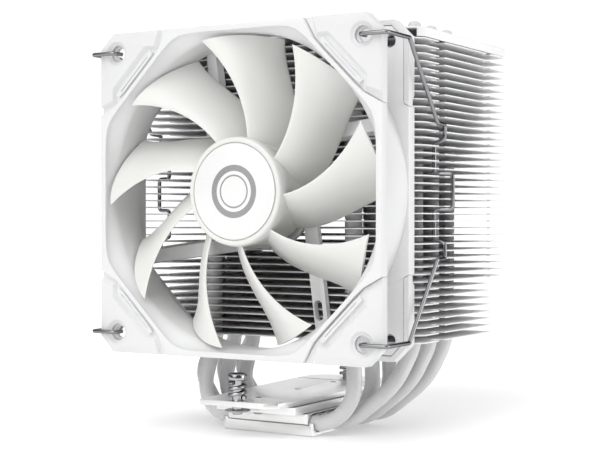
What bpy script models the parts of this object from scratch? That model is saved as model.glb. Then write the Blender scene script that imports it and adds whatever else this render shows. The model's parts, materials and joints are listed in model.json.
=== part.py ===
"""CPU tower cooler: a 120 mm fan clipped to a stack of fins on six heat pipes, with a spring-screw mount.

Metres, +Z up. The origin is the centre of the base's contact face, and the fan faces -Y.
Fan pieces are laid out in the fan's own frame, with y = 0 on its front face, and placed by fan_origin().
"""

import math

import bmesh
import bpy
from mathutils import Matrix, Vector

GAP = 0.0003  # kept between solids that touch
MERGE = 0.000001

# Fan: a square moulding, its duct and its corner pads
FAN_SIDE = 0.120
FAN_DEPTH = 0.025
FAN_FRONT_Y = -0.0448
FAN_AXIS_Z = 0.0895
FLANGE = 0.0045
CORNER_CHAMFER = 0.006
DUCT_RADIUS = 0.0574
DUCT_OUTER_RADIUS = 0.0597
MOUTH_FLAT = 0.0580  # half width of the octagonal mouth
MOUTH_DIAGONAL = 0.0837  # |x| + |z| on its slanted sides
FUNNEL_DEPTH = 0.006
HOLE_OFFSET = 0.0525
HOLE_RADIUS = 0.0023
PAD_SEAM = 0.0295  # where a corner pad starts along the frame's edge
PAD_THICKNESS = 0.0015
PAD_HOLE_RADIUS = 0.0040

# Motor holder and struts at the back of the fan
HOLDER_RADIUS = 0.021
HOLDER_FRONT = 0.0220
STRUT_FRONT = 0.0216
STRUT_WIDTH = 0.0063
STRUT_OFFSET = 0.0172
STRUT_TILT = math.radians(7.5)
STRUT_REACH = 0.0592
CABLE_SLOT_AT = 0.0435
CABLE_SLOT_LENGTH = 0.0075
CABLE_SLOT_WIDTH = 0.0030

# Rotor
HUB_RADIUS = 0.020
HUB_REAR = 0.0204
HUB_FACE = 0.0015
BLADES = 9
BLADE_TIP_RADIUS = 0.0566
BLADE_ROOT_RADIUS = 0.0190
BLADE_THICKNESS = 0.0013
BLADE_TIP_ANGLE = 24.6  # leading tip of the first blade, in degrees
BLADE_LEADING_SWEEP = 28.4
BLADE_TIP_CHORD = 26.2
BLADE_TRAILING_SWEEP = 41.6
BLADE_TRAILING_HOLLOW = 9.5  # how far the trailing edge is hollowed halfway along the span
BLADE_LEADING_DEPTH = (0.0030, 0.0014)  # at the root, at the tip
BLADE_TRAILING_DEPTH = (0.0198, 0.0175)
BLADE_CAMBER = (1.25, 1.8)
SHAFT_RADIUS = 0.0015
BEARING_BORE = 0.00157
MAGNET_INNER = 0.0148
MAGNET_OUTER = 0.0168
STATOR_RADIUS = 0.0143
STATOR_SPAN = (0.0090, 0.0170)

# Fin stack
FINS = 41
SHORT_FINS = 8
FIN_PITCH = 0.002695
FIN_THICKNESS = 0.0004
FIN_TOP_Z = 0.14355
FIN_HALF_WIDTH = 0.062
FIN_FRONT_Y = -0.0193
FIN_REAR_Y = 0.0571
SHORT_FIN_REAR_Y = 0.0434
FIN_CHAMFER = (0.0035, 0.0040)
CLIP_NOTCH = (-0.0038, 0.0012, 0.0036)  # start and end along Y, depth
FINS_PER_GROUP = 3
STRIP_X = (0.0372, 0.0377)
STRIP_Y = (-0.0050, 0.0300)
PLATE_TOP_Z = 0.1474
PLATE_THICKNESS = 0.0005
SKIRT_BOTTOM_Z = 0.1441
DRIVER_HOLE = (-0.0046, 0.0481)
DRIVER_HOLE_RADIUS = 0.0046

# Heat pipes
PIPES = 6
PIPE_RADIUS = 0.00285
PIPE_BASE_PITCH = 0.007
PIPE_BASE_Z = 0.0045
PIPE_TOP_Z = 0.1540
PIPE_CLEARANCE = PIPE_RADIUS + GAP
INNER_LEG_X = 0.0310
INNER_LEG_SHIFT = 0.0063
OUTER_LEG_X = 0.0448
OUTER_LEG_SHIFT = 0.0215

# Base and mount
BASE_HALF_X = 0.0197
BASE_HALF_Y = 0.0215
BASE_TOP_Z = 0.0040
EAR_WIDTH = 0.0019
EAR_TOP_Z = 0.0048
COVER_HALF_X = 0.0175
COVER_TOP_Z = 0.0080
SPACER_X = (-0.0187, 0.0160)
SPACER_Y = (-0.0278, 0.0368)
SPACER_TOP_Z = 0.0110
BAR_BOTTOM_Z = 0.0113
BAR_TOP_Z = 0.0133
BAR_OUTLINE = (
    (-0.0188, -0.0385),
    (0.0090, -0.0385),
    (0.0133, -0.0350),
    (0.0145, -0.0255),
    (0.0153, 0.0120),
    (0.0153, 0.0450),
    (0.0115, 0.0530),
    (0.0040, 0.0565),
    (-0.0130, 0.0565),
    (-0.0190, 0.0548),
    (-0.0226, 0.0510),
    (-0.0238, 0.0460),
    (-0.0236, 0.0390),
    (-0.0218, 0.0030),
)
CENTRE_HOLE = (-0.0028, 0.0048)
BAR_SCREW_X = -0.0027
BAR_SCREW_Y = (-0.0236, 0.0326)
BAR_SCREW_HEAD_Z = (0.0072, 0.0082)
SCREW_X = -0.0046
SCREW_Y = (-0.0347, 0.0481)
SCREW_HEAD_RADIUS = 0.0035
SCREW_HEAD_Z = (0.0207, 0.0232)
SCREW_SHANK_RADIUS = 0.0019
SCREW_TIP_Z = 0.0082
WASHER_RADIUS = 0.0048
WASHER_Z = (0.0094, 0.0099)
SPRING_RADIUS = 0.0029
SPRING_WIRE = 0.00055
SPRING_TURNS = 3.0

# Wire clips
CLIP_WIRE = 0.00075
CLIP_FRONT_Y = -0.0463
CLIP_SIDE_X = 0.0628
CLIP_NOTCH_X = 0.0594
CLIP_HANDLE_X = 0.0658

PART = bpy.data.collections.new("cpu_tower_cooler")
CUTTERS = bpy.data.collections.new("cutters")


def clear_scene():
    for obj in list(bpy.data.objects):
        bpy.data.objects.remove(obj)
    bpy.context.scene.collection.children.link(PART)
    bpy.context.scene.collection.children.link(CUTTERS)


def make_material(name, color, roughness, metallic=0.0):
    material = bpy.data.materials.new(name)
    material.use_nodes = True
    shader = material.node_tree.nodes["Principled BSDF"]
    shader.inputs["Base Color"].default_value = (*color, 1)
    shader.inputs["Roughness"].default_value = roughness
    shader.inputs["Metallic"].default_value = metallic
    return material


def make_materials():
    return {
        "frame_plastic": make_material("frame_plastic", (0.86, 0.86, 0.86), 0.45),
        "pad_rubber": make_material("pad_rubber", (0.84, 0.84, 0.84), 0.65),
        "blade_plastic": make_material("blade_plastic", (0.85, 0.85, 0.82), 0.35),
        "hub_print": make_material("hub_print", (0.88, 0.88, 0.88), 0.3),
        "fin_paint": make_material("fin_paint", (0.84, 0.84, 0.84), 0.4),
        "pipe_paint": make_material("pipe_paint", (0.72, 0.72, 0.72), 0.35),
        "nickel": make_material("nickel", (0.82, 0.82, 0.81), 0.2, 1.0),
        "chrome": make_material("chrome", (0.8, 0.8, 0.8), 0.12, 1.0),
        "steel": make_material("steel", (0.45, 0.45, 0.46), 0.35, 1.0),
        "copper_wire": make_material("copper_wire", (0.7, 0.35, 0.2), 0.35, 1.0),
        "circuit_board": make_material("circuit_board", (0.03, 0.2, 0.08), 0.5),
        "bronze": make_material("bronze", (0.55, 0.38, 0.2), 0.4, 1.0),
    }


# Shapes: each function returns a bmesh in the space that it is asked for


def box(low, high):
    shape = bmesh.new()
    bmesh.ops.create_cube(shape, size=1)
    size = Vector(high) - Vector(low)
    middle = (Vector(high) + Vector(low)) / 2
    shape.transform(Matrix.Translation(middle) @ Matrix.Diagonal((*size, 1)))
    return shape


def rod(radius, start, end, sides=12):
    """A cylinder from start to end whose flat sides lie on the radius."""
    start, end = Vector(start), Vector(end)
    shape = bmesh.new()
    outer = radius / math.cos(math.pi / sides)
    bmesh.ops.create_cone(
        shape, cap_ends=True, segments=sides, radius1=outer, radius2=outer, depth=(end - start).length
    )
    turn = (end - start).to_track_quat("Z", "Y").to_matrix().to_4x4()
    shape.transform(Matrix.Translation((start + end) / 2) @ turn)
    return shape


def sheet(outlines, low, high, upright=False):
    """A flat plate with holes. It spans low to high along Z, or along Y where upright is set."""
    curve = bpy.data.curves.new("outline", "CURVE")
    curve.dimensions = "2D"
    curve.fill_mode = "BOTH"
    curve.extrude = (high - low) / 2
    for points in outlines:
        spline = curve.splines.new("POLY")
        spline.points.add(len(points) - 1)
        for point, (across, along) in zip(spline.points, points):
            point.co = (across, along, 0, 1)
        spline.use_cyclic_u = True
    shape = welded(curve)
    turn = Matrix.Rotation(math.pi / 2, 4, "X") if upright else Matrix.Identity(4)
    shift = (0, (low + high) / 2, 0) if upright else (0, 0, (low + high) / 2)
    shape.transform(Matrix.Translation(shift) @ turn)
    return shape


def tube(points, radius, resolution=2):
    """A round wire or pipe along points, with closed ends."""
    curve = bpy.data.curves.new("route", "CURVE")
    curve.dimensions = "3D"
    curve.bevel_depth = radius
    curve.bevel_resolution = resolution
    curve.use_fill_caps = True
    spline = curve.splines.new("POLY")
    spline.points.add(len(points) - 1)
    for point, place in zip(spline.points, points):
        point.co = (*place, 1)
    return welded(curve)


def welded(curve):
    """The curve's mesh with its caps joined to its sides."""
    guide = bpy.data.objects.new("guide", curve)
    CUTTERS.objects.link(guide)
    bpy.context.view_layer.update()
    graph = bpy.context.evaluated_depsgraph_get()
    mesh = bpy.data.meshes.new_from_object(guide.evaluated_get(graph))
    shape = bmesh.new()
    shape.from_mesh(mesh)
    bmesh.ops.remove_doubles(shape, verts=shape.verts, dist=MERGE)
    bmesh.ops.recalc_face_normals(shape, faces=shape.faces)
    bpy.data.objects.remove(guide)
    bpy.data.curves.remove(curve)
    bpy.data.meshes.remove(mesh)
    return shape


def circle(radius, sides, at=(0, 0)):
    return [
        (at[0] + radius * math.cos(2 * math.pi * i / sides), at[1] + radius * math.sin(2 * math.pi * i / sides))
        for i in range(sides)
    ]


# Objects


def place(name, shapes, material=None, matrix=None):
    """One object from shapes that don't touch. Without a material it is a hidden helper for a Boolean."""
    mesh = bpy.data.meshes.new(name)
    merged = bmesh.new()
    for shape in shapes:
        scratch = bpy.data.meshes.new("scratch")
        shape.to_mesh(scratch)
        shape.free()
        merged.from_mesh(scratch)
        bpy.data.meshes.remove(scratch)
    merged.to_mesh(mesh)
    merged.free()
    return place_mesh(name, mesh, material, matrix)


def place_mesh(name, mesh, material=None, matrix=None):
    obj = bpy.data.objects.new(name, mesh)
    obj.matrix_world = matrix or Matrix.Identity(4)
    if material:
        PART.objects.link(obj)
        mesh.materials.clear()
        mesh.materials.append(material)
        mesh.shade_smooth()
        mesh.set_sharp_from_angle(angle=math.radians(35))
    else:
        CUTTERS.objects.link(obj)
        obj.hide_render = True
        obj.display_type = "WIRE"
    return obj


def turned(name, profile, steps, material=None, matrix=None):
    """A solid of revolution about local Z from (radius, height) points that run down the outer side."""
    mesh = bpy.data.meshes.new(name)
    closed = profile[0][0] > 0
    edges = [(i, i + 1) for i in range(len(profile) - 1)]
    if closed:
        edges.append((len(profile) - 1, 0))
    mesh.from_pydata([(radius, 0, height) for radius, height in profile], edges, [])
    obj = place_mesh(name, mesh, material, matrix)
    screw = obj.modifiers.new("Turn", "SCREW")
    screw.steps = screw.render_steps = steps
    screw.use_merge_vertices = True
    screw.merge_threshold = MERGE
    return obj


def boolean(target, operand, operation, solver="EXACT"):
    modifier = target.modifiers.new(operation.title(), "BOOLEAN")
    modifier.operation = operation
    modifier.solver = solver
    modifier.object = operand


def fan_origin():
    return Matrix.Translation((0, FAN_FRONT_Y, FAN_AXIS_Z))


def fan_axis():
    """Local Z runs backwards through the fan, from its front face."""
    return fan_origin() @ Matrix.Rotation(-math.pi / 2, 4, "X")


def quarter_turns(shape_of):
    """Four copies of a fan shape, a quarter turn apart about the fan's axis."""
    shapes = []
    for quarter in range(4):
        shape = shape_of()
        shape.transform(Matrix.Rotation(quarter * math.pi / 2, 4, "Y"))
        shapes.append(shape)
    return shapes


# Fan frame


def flange_outline():
    half, cut = FAN_SIDE / 2, FAN_SIDE / 2 - CORNER_CHAMFER
    corner = [(half, cut), (cut, half)]
    return [
        (x * across, z * up)
        for across, up, order in ((1, 1, 1), (-1, 1, -1), (-1, -1, 1), (1, -1, -1))
        for x, z in corner[::order]
    ]


def pad_outline(inset=0.0, seam=PAD_SEAM):
    """The corner at +x, +z that a pad covers, with its outer sides moved in by inset."""
    half = FAN_SIDE / 2 - inset
    cut = FAN_SIDE / 2 - CORNER_CHAMFER - inset * math.tan(math.pi / 8)
    return [(seam, half), (half, seam), (half, cut), (cut, half)]


def mouth_radius(angle):
    across, up = abs(math.cos(angle)), abs(math.sin(angle))
    return min(MOUTH_FLAT / max(across, up), MOUTH_DIAGONAL / (across + up))


def duct_cutter(sides=48):
    """The air path: an octagonal mouth at each face that funnels to a round duct."""
    rings = ((-0.0005, 0), (FUNNEL_DEPTH, 1), (FAN_DEPTH - FUNNEL_DEPTH, 1), (FAN_DEPTH + 0.0005, 0))
    shape = bmesh.new()
    loops = []
    for depth, is_round in rings:
        loop = []
        for i in range(sides):
            angle = 2 * math.pi * i / sides
            radius = DUCT_RADIUS if is_round else mouth_radius(angle)
            loop.append(shape.verts.new((radius * math.cos(angle), depth, radius * math.sin(angle))))
        loops.append(loop)
    for near, far in zip(loops, loops[1:]):
        for i in range(sides):
            j = (i + 1) % sides
            shape.faces.new((near[i], near[j], far[j], far[i]))
    shape.faces.new(loops[0])
    shape.faces.new(loops[-1])
    bmesh.ops.recalc_face_normals(shape, faces=shape.faces)
    return shape


def strut():
    """One strut, from beside the motor holder to the duct's edge."""
    shape = box((0, STRUT_FRONT, -STRUT_WIDTH / 2), (STRUT_REACH, FAN_DEPTH, STRUT_WIDTH / 2))
    shape.transform(Matrix.Translation((0, 0, STRUT_OFFSET)) @ Matrix.Rotation(-STRUT_TILT, 4, "Y"))
    return shape


def cable_slot():
    """The rounded slot that the fan's lead leaves by, in the strut that points down."""
    half = CABLE_SLOT_LENGTH / 2 - CABLE_SLOT_WIDTH / 2
    radius = CABLE_SLOT_WIDTH / 2
    ends = [(math.radians(a), half if a < 90 or a > 270 else -half) for a in range(15, 360, 30)]
    outline = [(shift + radius * math.cos(angle), radius * math.sin(angle)) for angle, shift in ends]
    shape = sheet([outline], STRUT_FRONT - 0.001, FAN_DEPTH + 0.001, upright=True)
    shape.transform(Matrix.Translation((CABLE_SLOT_AT, 0, 0)))
    shape.transform(Matrix.Translation((0, 0, STRUT_OFFSET)) @ Matrix.Rotation(-STRUT_TILT, 4, "Y"))
    shape.transform(Matrix.Rotation(math.pi / 2, 4, "Y"))
    return shape


def flange_pair():
    outline = flange_outline()
    return [
        sheet([outline], 0, FLANGE, upright=True),
        sheet([outline], FAN_DEPTH - FLANGE, FAN_DEPTH, upright=True),
    ]


def pad_rooms():
    """What the eight pads and their gaps take out of the flange corners."""
    rooms = []
    spare = 0.001
    outline = pad_outline(-spare, PAD_SEAM - GAP * math.sqrt(2) - spare)
    for low, high in ((-0.001, FLANGE + 0.0001), (FAN_DEPTH - FLANGE - 0.0001, FAN_DEPTH + 0.001)):
        rooms += quarter_turns(lambda: sheet([outline], low, high, upright=True))
    return rooms


def flange_cores():
    """The flange corners under the pads."""
    inset = PAD_THICKNESS + GAP
    outline = pad_outline(inset, PAD_SEAM - 0.002)
    spans = ((inset, FLANGE - GAP), (FAN_DEPTH - FLANGE + GAP, FAN_DEPTH - inset))
    cores = []
    for low, high in spans:
        cores += quarter_turns(lambda: sheet([outline], low, high, upright=True))
    return cores


def corner_holes(radius, low, high):
    return quarter_turns(lambda: rod(radius, (HOLE_OFFSET, low, HOLE_OFFSET), (HOLE_OFFSET, high, HOLE_OFFSET)))


def motor_holder():
    """The turned plate and bearing tube that carry the motor, seen in (radius, depth) from the fan's front."""
    profile = [
        (HOLDER_RADIUS, FAN_DEPTH),
        (HOLDER_RADIUS, HOLDER_FRONT),
        (0.0042, HOLDER_FRONT),
        (0.0042, 0.0075),
        (0.0031, 0.0075),
        (0.0031, 0.0220),
        (0.0022, 0.0220),
        (0.0022, 0.0228),
        (0.0034, 0.0228),
        (0.0034, 0.0244),
        (0.0153, 0.0244),
        (0.0153, FAN_DEPTH),
    ]
    return turned("motor_holder", profile, 24, matrix=fan_axis())


def build_fan_frame(materials):
    here = fan_origin()
    frame = place("fan_frame", flange_pair(), materials["frame_plastic"], here)
    duct_wall = rod(DUCT_OUTER_RADIUS, (0, 0.002, 0), (0, FAN_DEPTH - 0.002, 0), sides=48)
    boolean(frame, place("duct_wall", [duct_wall], matrix=here), "UNION")
    boolean(frame, place("pad_rooms", pad_rooms(), matrix=here), "DIFFERENCE")
    boolean(frame, place("flange_cores", flange_cores(), matrix=here), "UNION")
    boolean(frame, place("duct_cutter", [duct_cutter()], matrix=here), "DIFFERENCE")
    struts = place("struts", quarter_turns(strut), matrix=here)
    holder_room = rod(HOLDER_RADIUS - 0.003, (0, 0, 0), (0, FAN_DEPTH + 0.001, 0), sides=32)
    boolean(struts, place("holder_room", [holder_room], matrix=here), "DIFFERENCE")
    boolean(frame, struts, "UNION")
    boolean(frame, motor_holder(), "UNION")
    holes = corner_holes(HOLE_RADIUS, -0.001, FAN_DEPTH + 0.001) + [cable_slot()]
    boolean(frame, place("frame_holes", holes, matrix=here), "DIFFERENCE")
    return frame


def build_corner_pads(materials):
    """A cap over each flange corner: a face plate with a rim down the two outer sides."""
    names = ("top_right", "bottom_right", "bottom_left", "top_left")
    for side in ("front", "rear"):
        for quarter, corner in enumerate(names):
            name = f"{side}_pad_{corner}"
            turn = Matrix.Rotation(quarter * math.pi / 2, 4, "Y")
            if side == "rear":
                flip = Matrix.Translation((0, FAN_DEPTH, 0)) @ Matrix.Rotation(math.pi, 4, "Z")
                turn = turn @ Matrix.Rotation(math.pi / 2, 4, "Y") @ flip
            matrix = fan_origin() @ turn
            pad = place(name, [sheet([pad_outline()], 0, FLANGE, upright=True)], materials["pad_rubber"], matrix)
            core = sheet([pad_outline(PAD_THICKNESS, PAD_SEAM - 0.004)], PAD_THICKNESS, 0.01, upright=True)
            boolean(pad, place(f"{name}_core", [core], matrix=matrix), "DIFFERENCE")
            hole = rod(PAD_HOLE_RADIUS, (HOLE_OFFSET, -0.001, HOLE_OFFSET), (HOLE_OFFSET, 0.01, HOLE_OFFSET))
            boolean(pad, place(f"{name}_hole", [hole], matrix=matrix), "DIFFERENCE")


# Rotor


def blade_surface(first_angle, span_steps=4, chord_steps=5):
    """One blade's middle surface: swept forward towards its tip and cambered along its chord."""
    shape = bmesh.new()
    grid = []
    for i in range(span_steps + 1):
        span = i / span_steps
        radius = BLADE_ROOT_RADIUS + (BLADE_TIP_RADIUS - BLADE_ROOT_RADIUS) * span
        leading = first_angle - BLADE_LEADING_SWEEP * (1 - span)
        trailing = first_angle - BLADE_TIP_CHORD - BLADE_TRAILING_SWEEP * (1 - span)
        trailing += BLADE_TRAILING_HOLLOW * 4 * span * (1 - span)
        near = BLADE_LEADING_DEPTH[0] + (BLADE_LEADING_DEPTH[1] - BLADE_LEADING_DEPTH[0]) * span
        far = BLADE_TRAILING_DEPTH[0] + (BLADE_TRAILING_DEPTH[1] - BLADE_TRAILING_DEPTH[0]) * span
        camber = BLADE_CAMBER[0] + (BLADE_CAMBER[1] - BLADE_CAMBER[0]) * span
        row = []
        for j in range(chord_steps + 1):
            chord = j / chord_steps
            angle = math.radians(leading + (trailing - leading) * chord)
            depth = near + (far - near) * chord**camber
            row.append(shape.verts.new((radius * math.cos(angle), depth, radius * math.sin(angle))))
        grid.append(row)
    for inner, outer in zip(grid, grid[1:]):
        for j in range(chord_steps):
            shape.faces.new((inner[j], inner[j + 1], outer[j + 1], outer[j]))
    return shape


def build_impeller(materials):
    profile = [
        (0, 0.0040),
        (0.0183, 0.0040),
        (0.0183, HUB_REAR),
        (HUB_RADIUS, HUB_REAR),
        (HUB_RADIUS, 0.0020),
        (0.0195, 0.0011),
        (0.0186, 0.0007),
        (0.0181, HUB_FACE),
        (0, HUB_FACE),
    ]
    impeller = turned("impeller", profile, 32, materials["blade_plastic"], fan_axis())
    surfaces = [blade_surface(BLADE_TIP_ANGLE + 360 / BLADES * k) for k in range(BLADES)]
    blades = place("blades", surfaces, matrix=fan_origin())
    solidify = blades.modifiers.new("Thickness", "SOLIDIFY")
    solidify.thickness = BLADE_THICKNESS
    solidify.offset = 0
    boolean(impeller, blades, "UNION")
    return impeller


def ring(name, inner, outer, span, steps, material):
    profile = [(outer, span[1]), (outer, span[0]), (inner, span[0]), (inner, span[1])]
    return turned(name, profile, steps, material, fan_axis())


def build_rotor_inside(materials):
    turned("hub_cap", [(0, 0.0012), (0.0176, 0.0012), (0.0176, 0.0008), (0, 0.0008)], 32,
           materials["hub_print"], fan_axis())
    yoke = [
        (0.0180, 0.0198),
        (0.0180, 0.0043),
        (0.0018, 0.0043),
        (0.0018, 0.0053),
        (0.0171, 0.0053),
        (0.0171, 0.0198),
    ]
    turned("rotor_yoke", yoke, 24, materials["steel"], fan_axis())
    ring("ring_magnet", MAGNET_INNER, MAGNET_OUTER, (0.0080, 0.0180), 20, materials["steel"])
    shaft = [
        (0, 0.0240),
        (SHAFT_RADIUS, 0.0240),
        (SHAFT_RADIUS, 0.0236),
        (0.0011, 0.0236),
        (0.0011, 0.0231),
        (SHAFT_RADIUS, 0.0231),
        (SHAFT_RADIUS, 0.0048),
        (0, 0.0048),
    ]
    turned("shaft", shaft, 16, materials["chrome"], fan_axis())
    ring("shaft_retaining_ring", 0.0013, 0.0028, (0.0232, 0.0235), 16, materials["steel"])


def stator_outline():
    """Four T-shaped poles round a hub, as one outline."""
    points = []
    for pole in range(4):
        turn = pole * math.pi / 2
        half = [(0.0056, -0.0020), (0.0122, -0.0020)]
        half.append((0.0130 * math.cos(math.radians(30)), -0.0130 * math.sin(math.radians(30))))
        arc = [
            (STATOR_RADIUS * math.cos(math.radians(a)), STATOR_RADIUS * math.sin(math.radians(a)))
            for a in (-32, -11, 11, 32)
        ]
        pole_points = half + arc + [(x, -y) for x, y in half[::-1]]
        points += [
            (x * math.cos(turn) - y * math.sin(turn), x * math.sin(turn) + y * math.cos(turn))
            for x, y in pole_points
        ]
    return points


def build_stator(materials):
    core = sheet([stator_outline(), circle(0.0045, 16)], *STATOR_SPAN, upright=True)
    place("stator_core", [core], materials["steel"], fan_origin())
    for pole in range(4):
        matrix = fan_origin() @ Matrix.Rotation(pole * math.pi / 2, 4, "Y")
        coil = place(f"stator_winding_{pole + 1}", [box((0.0074, 0.0074, -0.0040), (0.0113, 0.0186, 0.0040))],
                     materials["copper_wire"], matrix)
        room = box((0.0060, STATOR_SPAN[0] - GAP, -0.0023), (0.0130, STATOR_SPAN[1] + GAP, 0.0023))
        boolean(coil, place(f"winding_room_{pole + 1}", [room], matrix=matrix), "DIFFERENCE")
    ring("bearing_sleeve", BEARING_BORE, 0.0028, (0.0080, 0.0217), 16, materials["bronze"])
    ring("driver_board", 0.0050, 0.0160, (0.0209, 0.0215), 24, materials["circuit_board"])
    turned("rear_label_disc", [(0, 0.0250), (0.0150, 0.0250), (0.0150, 0.0247), (0, 0.0247)], 32,
           materials["hub_print"], fan_axis())


# Heat pipes and fins


def filleted(corners, radii, steps):
    """The points of a polyline whose inner corners are replaced by arcs of the given radii."""
    points = [Vector(corners[0])]
    for before, corner, after, radius, count in zip(corners, corners[1:], corners[2:], radii, steps):
        corner = Vector(corner)
        back = (Vector(before) - corner).normalized()
        ahead = (Vector(after) - corner).normalized()
        half = back.angle(ahead) / 2
        centre = corner + (back + ahead).normalized() * radius / math.sin(half)
        start = (corner + back * radius / math.tan(half) - centre).normalized()
        end = (corner + ahead * radius / math.tan(half) - centre).normalized()
        points += [centre + start.slerp(end, k / count) * radius for k in range(count + 1)]
    points.append(Vector(corners[-1]))
    return points


def pipe_base_y(index):
    return (index - (PIPES - 1) / 2) * PIPE_BASE_PITCH


def leg_place(index):
    """Where a pipe's upright legs stand: |x| and y. Every second pipe is an outer one."""
    if index % 2 == 0:
        return INNER_LEG_X, pipe_base_y(index) + INNER_LEG_SHIFT
    return OUTER_LEG_X, pipe_base_y(index) + OUTER_LEG_SHIFT


def pipe_route(index):
    """One whole pipe, tip to tip: up, down, through the base and up again."""
    y = pipe_base_y(index)
    leg_x, leg_y = leg_place(index)
    if index % 2 == 0:
        corners = [(0, y, PIPE_BASE_Z), (0.0349, y + 0.0005, PIPE_BASE_Z), (leg_x, leg_y, 0.0310)]
        radii, steps = (0.0137, 0.018), (6, 3)
    else:
        corners = [(0, y, PIPE_BASE_Z), (0.0285, y, PIPE_BASE_Z), (0.0435, y + 0.0075, 0.0180), (leg_x, leg_y, 0.0320)]
        radii, steps = (0.013, 0.020, 0.013), (4, 3, 4)
    corners.append((leg_x, leg_y, PIPE_TOP_Z))
    half = filleted(corners, radii, steps)[1:]
    return [Vector((-p.x, p.y, p.z)) for p in half[::-1]] + half


def build_heat_pipes(materials):
    for index in range(PIPES):
        place(f"heat_pipe_{index + 1}", [tube(pipe_route(index), PIPE_RADIUS)], materials["pipe_paint"])


def fin_outline(rear, notched=True):
    """Half of a fin's edge at +x, front to back, then mirrored into a whole outline."""
    wide = FIN_HALF_WIDTH
    side = [(wide - FIN_CHAMFER[0], FIN_FRONT_Y), (wide, FIN_FRONT_Y + FIN_CHAMFER[1])]
    if notched:
        start, end, depth = CLIP_NOTCH
        side += [(wide, start), (wide - depth, start), (wide - depth, end), (wide, end)]
    side.append((wide, rear))
    return side + [(-x, y) for x, y in side[::-1]]


def pipe_slots():
    """One slot for each row of three legs, cut through a fin."""
    slots = []
    for row in (0, 1):
        x, front = leg_place(row)
        back = leg_place(row + PIPES - 2)[1]
        for side in (-1, 1):
            left, right = side * x - PIPE_CLEARANCE, side * x + PIPE_CLEARANCE
            low, high = front - PIPE_CLEARANCE, back + PIPE_CLEARANCE
            slots.append([(left, low), (right, low), (right, high), (left, high)])
    return slots


def fin_z(row):
    """The middle height of a fin; row 0 is the top one."""
    return FIN_TOP_Z - row * FIN_PITCH


def fin_groups():
    """(first row, count) of each group: long fins in threes, then short ones in threes with what is left."""
    long_fins = FINS - SHORT_FINS
    starts = list(range(0, long_fins, FINS_PER_GROUP)) + list(range(long_fins, FINS, FINS_PER_GROUP))
    ends = starts[1:] + [FINS]
    return [(start, end - start) for start, end in zip(starts, ends)]


def build_fins(materials):
    """Fins in small groups, each joined by the two spacer strips folded from its sheets."""
    for number, (first, count) in enumerate(fin_groups()):
        if first < FINS - SHORT_FINS:
            rear, holes = FIN_REAR_Y, pipe_slots() + [circle(DRIVER_HOLE_RADIUS, 6, DRIVER_HOLE)]
        else:
            rear, holes = SHORT_FIN_REAR_Y, pipe_slots()
        fins = []
        for row in range(first, first + count):
            low = fin_z(row) - FIN_THICKNESS / 2
            fins.append(sheet([fin_outline(rear)] + holes, low, low + FIN_THICKNESS))
        group = place(f"fin_group_{number + 1:02d}", fins, materials["fin_paint"])
        top = fin_z(first) + FIN_THICKNESS / 4
        bottom = fin_z(first + count - 1) - FIN_THICKNESS / 4
        strips = []
        for left, right in (STRIP_X, (-STRIP_X[1], -STRIP_X[0])):
            strips.append(box((left, STRIP_Y[0], bottom), (right, STRIP_Y[1], top)))
        boolean(group, place(f"spacer_strips_{number + 1}", strips), "UNION", "MANIFOLD")


def build_top_plate(materials):
    holes = [circle(DRIVER_HOLE_RADIUS, 12, DRIVER_HOLE)]
    for index in range(PIPES):
        x, y = leg_place(index)
        holes += [circle(PIPE_CLEARANCE / math.cos(math.pi / 10), 10, (side * x, y)) for side in (-1, 1)]
    outline = fin_outline(FIN_REAR_Y, notched=False)
    shape = sheet([outline] + holes, PLATE_TOP_Z - PLATE_THICKNESS, PLATE_TOP_Z)
    plate = place("top_plate", [shape], materials["fin_paint"])
    skirts = []
    outer, inner = FIN_HALF_WIDTH - 0.0001, FIN_HALF_WIDTH - 0.0006
    for left, right in ((-outer, -inner), (inner, outer)):
        low = (left, FIN_FRONT_Y + FIN_CHAMFER[1] + 0.0002, SKIRT_BOTTOM_Z)
        skirts.append(box(low, (right, FIN_REAR_Y - 0.0002, PLATE_TOP_Z - PLATE_THICKNESS / 2)))
    boolean(plate, place("skirts", skirts), "UNION", "MANIFOLD")


# Base and mount


def pipe_grooves():
    grooves = []
    for index in range(PIPES):
        y = pipe_base_y(index)
        grooves.append(rod(PIPE_CLEARANCE, (-0.03, y, PIPE_BASE_Z), (0.03, y, PIPE_BASE_Z)))
    return grooves


def build_base(materials):
    grooves = place("pipe_grooves", pipe_grooves())
    block = place("base_lower_block", [box((-BASE_HALF_X, -BASE_HALF_Y, 0), (BASE_HALF_X, BASE_HALF_Y, BASE_TOP_Z))],
                  materials["nickel"])
    ears = []
    for left in (-BASE_HALF_X, BASE_HALF_X - EAR_WIDTH):
        ears.append(box((left, -BASE_HALF_Y, BASE_TOP_Z - 0.001), (left + EAR_WIDTH, BASE_HALF_Y, EAR_TOP_Z)))
    boolean(block, place("base_ears", ears), "UNION")
    boolean(block, grooves, "DIFFERENCE")
    low = (-COVER_HALF_X, -BASE_HALF_Y, BASE_TOP_Z + GAP)
    cover = place("base_cover_block", [box(low, (COVER_HALF_X, BASE_HALF_Y, COVER_TOP_Z))], materials["nickel"])
    boolean(cover, grooves, "DIFFERENCE")


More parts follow.
